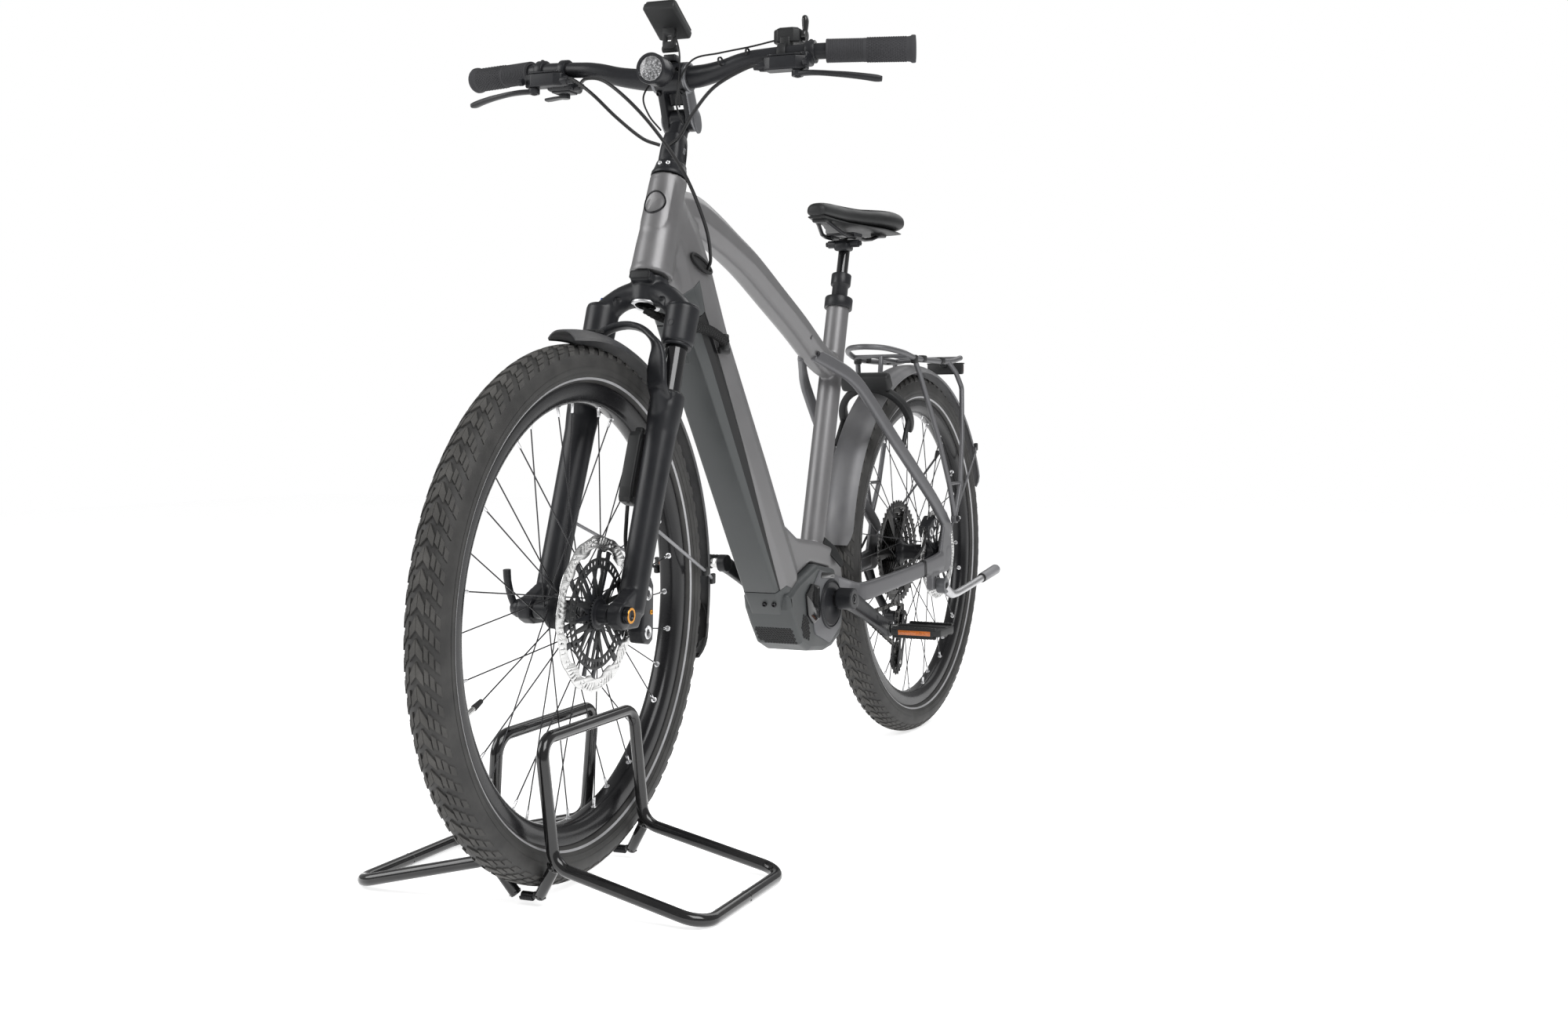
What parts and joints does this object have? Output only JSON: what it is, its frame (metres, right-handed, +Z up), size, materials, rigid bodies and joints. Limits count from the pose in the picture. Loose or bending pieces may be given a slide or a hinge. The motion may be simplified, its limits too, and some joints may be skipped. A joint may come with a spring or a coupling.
{
  "type": "bicycle on stand",
  "caption": "City e-bike with mid motor, suspension fork, disc brakes, mudguards and rack, its front wheel held upright in a bent-tube floor stand.",
  "frame": {"origin": "on the floor, under the middle of the whole object's box", "axes": "+X forwards along the bicycle, +Y to the rider's left, +Z up"},
  "size_m": [1.8882, 0.7164, 1.1962],
  "materials": {
    "frame_paint": "satin metallic grey paint",
    "charcoal_plastic": "satin",
    "satin_black": "satin black",
    "black_plastic": "satin",
    "gloss_black": "gloss black paint",
    "tyre_rubber": "matte",
    "rim_black": "satin black",
    "steel": "brushed",
    "chain_steel": "dark",
    "alloy": "satin",
    "grip_rubber": "matte",
    "saddle_skin": "smooth",
    "rack_paint": "satin",
    "cable_black": "satin"
  },
  "bodies": {
    "frame": {"frame": "frame_paint", "drive_unit": "charcoal_plastic", "seat_clamp": "satin_black", "rear_mudguard": "charcoal_plastic", "rack": "rack_paint", "rear_light": "black_plastic", "ring_lock": "black_plastic", "rear_caliper": "satin_black", "chain": "chain_steel", "derailleur": "satin_black", "shift_cable": "cable_black", "cable_sleeve": "cable_black"},
    "battery_pack": {"battery": "black_plastic", "battery_cover": "charcoal_plastic"},
    "lock_bolt": {"lock_bolt": "steel"},
    "kickstand": {"kickstand": "alloy"},
    "derailleur_cage": {"derailleur_cage": "satin_black"},
    "cranks": {"crank_left": "satin_black", "crank_right": "satin_black", "chainring": "satin_black"},
    "pedal_left": {"pedal_left": "black_plastic"},
    "pedal_right": {"pedal_right": "black_plastic"},
    "cassette": {"cassette": "chain_steel"},
    "rear_wheel": {"rear_tyre": "tyre_rubber", "rear_rim": "rim_black", "rear_hub": "satin_black", "rear_rotor": "steel"},
    "seatpost_outer": {"seatpost_outer": "satin_black"},
    "seatpost_inner": {"seatpost_inner": "steel"},
    "saddle": {"saddle_frame": "black_plastic", "saddle_pad": "saddle_skin"},
    "front_end": {"fork_crown": "satin_black", "stem_base": "satin_black"},
    "cockpit": {"stem_arm": "alloy", "handlebar": "satin_black", "grip_left": "grip_rubber", "grip_right": "grip_rubber", "brake_body_left": "satin_black", "brake_body_right": "satin_black", "remote": "black_plastic", "cockpit_hoses": "cable_black"},
    "display": {"display": "black_plastic"},
    "headlight": {"headlight": "satin_black"},
    "brake_blade_left": {"brake_blade_left": "gloss_black"},
    "brake_blade_right": {"brake_blade_right": "gloss_black"},
    "shift_paddle": {"shift_paddle": "black_plastic"},
    "thumb_lever": {"thumb_lever": "black_plastic"},
    "fork_lowers": {"fork_lowers": "satin_black", "front_mudguard": "charcoal_plastic", "front_caliper": "satin_black", "abs_unit": "black_plastic"},
    "front_axle": {"front_axle": "steel"},
    "front_wheel": {"front_tyre": "tyre_rubber", "front_rim": "rim_black", "front_hub": "satin_black", "front_rotor": "steel"},
    "stand_springs": {"stand_spring_front": "steel", "stand_spring_rear": "steel"},
    "stand_left": {"stand_left": "gloss_black"},
    "stand_right": {"stand_right": "gloss_black"}
  },
  "joints": [
    {"name": "steering", "type": "hinge", "parent": "frame", "child": "front_end", "pos_m": [0.68286, -0.00212, 0], "axis": [-0.342, 0, 0.9397], "range_deg": [-53.7, 46.3], "deforming": ["shift_cable", "cable_sleeve"]},
    {"name": "stem_angle", "type": "hinge", "parent": "front_end", "child": "cockpit", "pos_m": [0.29987, -0.00242, 1.0385], "axis": [-0.0606, 0.9979, -0.0221], "range_deg": [-10, 40], "deforming": ["cockpit_hoses"]},
    {"name": "display_tilt", "type": "hinge", "parent": "cockpit", "child": "display", "pos_m": [0.33774, 0.002, 1.13445], "axis": [-0.0606, 0.9979, -0.0221], "range_deg": [-20, 20]},
    {"name": "headlight_tilt", "type": "hinge", "parent": "cockpit", "child": "headlight", "pos_m": [0.35623, 0.00225, 1.09495], "axis": [-0.0606, 0.9979, -0.0221], "range_deg": [-15, 15]},
    {"name": "left_brake_lever", "type": "hinge", "parent": "cockpit", "child": "brake_blade_left", "pos_m": [0.35211, 0.21002, 1.07636], "axis": [-0.0007, 0.0221, 0.9998], "range_deg": [0, 18], "stiffness_Nm_per_rad": 1.5, "springref_deg": -8.59},
    {"name": "right_brake_lever", "type": "hinge", "parent": "cockpit", "child": "brake_blade_right", "pos_m": [0.37733, -0.20511, 1.08554], "axis": [0.0007, -0.0221, -0.9998], "range_deg": [0, 18], "stiffness_Nm_per_rad": 1.5, "springref_deg": -8.59},
    {"name": "shift_lever", "type": "hinge", "parent": "cockpit", "child": "shift_paddle", "pos_m": [0.3434, -0.17421, 1.08083], "axis": [0.0007, -0.0221, -0.9998], "range_deg": [0, 18], "stiffness_Nm_per_rad": 0.6, "springref_deg": -8.59},
    {"name": "thumb_lever_swing", "type": "hinge", "parent": "cockpit", "child": "thumb_lever", "pos_m": [0.30264, 0.2004, 1.13955], "axis": [-0.0606, 0.9979, -0.0221], "range_deg": [0, 25], "stiffness_Nm_per_rad": 0.6, "springref_deg": -8.59},
    {"name": "fork_travel", "type": "slide", "parent": "front_end", "child": "fork_lowers", "axis": [-0.342, 0, 0.9397], "range_m": [0, 0.063], "stiffness_N_per_m": 6000, "springref_m": -0.05},
    {"name": "front_wheel_spin", "type": "hinge", "parent": "fork_lowers", "child": "front_wheel", "pos_m": [0.59778, 0.00057, 0.35557], "axis": [-0.0606, 0.9979, -0.0221], "continuous": true},
    {"name": "front_axle_lever", "type": "hinge", "parent": "fork_lowers", "child": "front_axle", "pos_m": [0.59778, 0.00057, 0.35557], "axis": [0.0606, -0.9979, 0.0221], "range_deg": [0, 160]},
    {"name": "stand_release", "type": "slide", "parent": "fork_lowers", "child": "stand_springs", "axis": [0, 0, -1], "range_m": [0, 0.25]},
    {"name": "stand_left_spread", "type": "hinge", "parent": "stand_springs", "child": "stand_left", "pos_m": [0.59801, -0.00709, 0.0125], "axis": [-0.9982, -0.0606, 0], "range_deg": [0, 6]},
    {"name": "stand_right_spread", "type": "hinge", "parent": "stand_springs", "child": "stand_right", "pos_m": [0.59801, -0.00709, 0.0125], "axis": [0.9982, 0.0606, 0], "range_deg": [0, 6]},
    {"name": "rear_wheel_spin", "type": "hinge", "parent": "frame", "child": "rear_wheel", "pos_m": [-0.59714, -0.00212, 0.347], "axis": [0, 1, 0], "continuous": true},
    {"name": "crank_spin", "type": "hinge", "parent": "frame", "child": "cranks", "pos_m": [-0.12714, -0.00212, 0.304], "axis": [0, 1, 0], "continuous": true},
    {"name": "cassette_spin", "type": "hinge", "parent": "frame", "child": "cassette", "pos_m": [-0.59714, -0.00212, 0.347], "axis": [0, 1, 0], "continuous": true},
    {"name": "left_pedal_spin", "type": "hinge", "parent": "cranks", "child": "pedal_left", "pos_m": [-0.27902, -0.00212, 0.23701], "axis": [0, 1, 0], "continuous": true},
    {"name": "right_pedal_spin", "type": "hinge", "parent": "cranks", "child": "pedal_right", "pos_m": [0.02474, -0.00212, 0.37099], "axis": [0, 1, 0], "continuous": true},
    {"name": "cage_swing", "type": "hinge", "parent": "frame", "child": "derailleur_cage", "pos_m": [-0.61914, -0.03062, 0.2155], "axis": [0, 1, 0], "range_deg": [-15, 20], "stiffness_Nm_per_rad": 2, "deforming": ["chain"]},
    {"name": "kickstand_swing", "type": "hinge", "parent": "frame", "child": "kickstand", "pos_m": [-0.53114, -0.00212, 0.29], "axis": [0, -1, 0], "range_deg": [0, 78]},
    {"name": "battery_swing", "type": "hinge", "parent": "frame", "child": "battery_pack", "pos_m": [0.05737, -0.00212, 0.32904], "axis": [0, 1, 0], "range_deg": [0, 4]},
    {"name": "lock_bolt_turn", "type": "hinge", "parent": "frame", "child": "lock_bolt", "pos_m": [-0.41985, -0.00212, 0.60495], "axis": [0.8241, 0, -0.5664], "range_deg": [0, 128]},
    {"name": "seatpost_height", "type": "slide", "parent": "frame", "child": "seatpost_outer", "axis": [-0.2672, 0, 0.9636], "range_m": [-0.02, 0.08]},
    {"name": "seatpost_suspension", "type": "slide", "parent": "seatpost_outer", "child": "seatpost_inner", "axis": [0.2672, 0, -0.9636], "range_m": [0, 0.034], "stiffness_N_per_m": 8000, "springref_m": -0.01},
    {"name": "saddle_tilt", "type": "hinge", "parent": "seatpost_inner", "child": "saddle", "pos_m": [-0.28064, -0.00212, 0.917], "axis": [0, 1, 0], "range_deg": [-10, 10]}
  ],
  "couplings": [
    {"joint": "cassette_spin", "follows": "crank_spin", "ratio": 0.84},
    {"joint": "stand_left_spread", "follows": "stand_release", "rad_per_m": 0.4188},
    {"joint": "stand_right_spread", "follows": "stand_release", "rad_per_m": 0.4188}
  ]
}
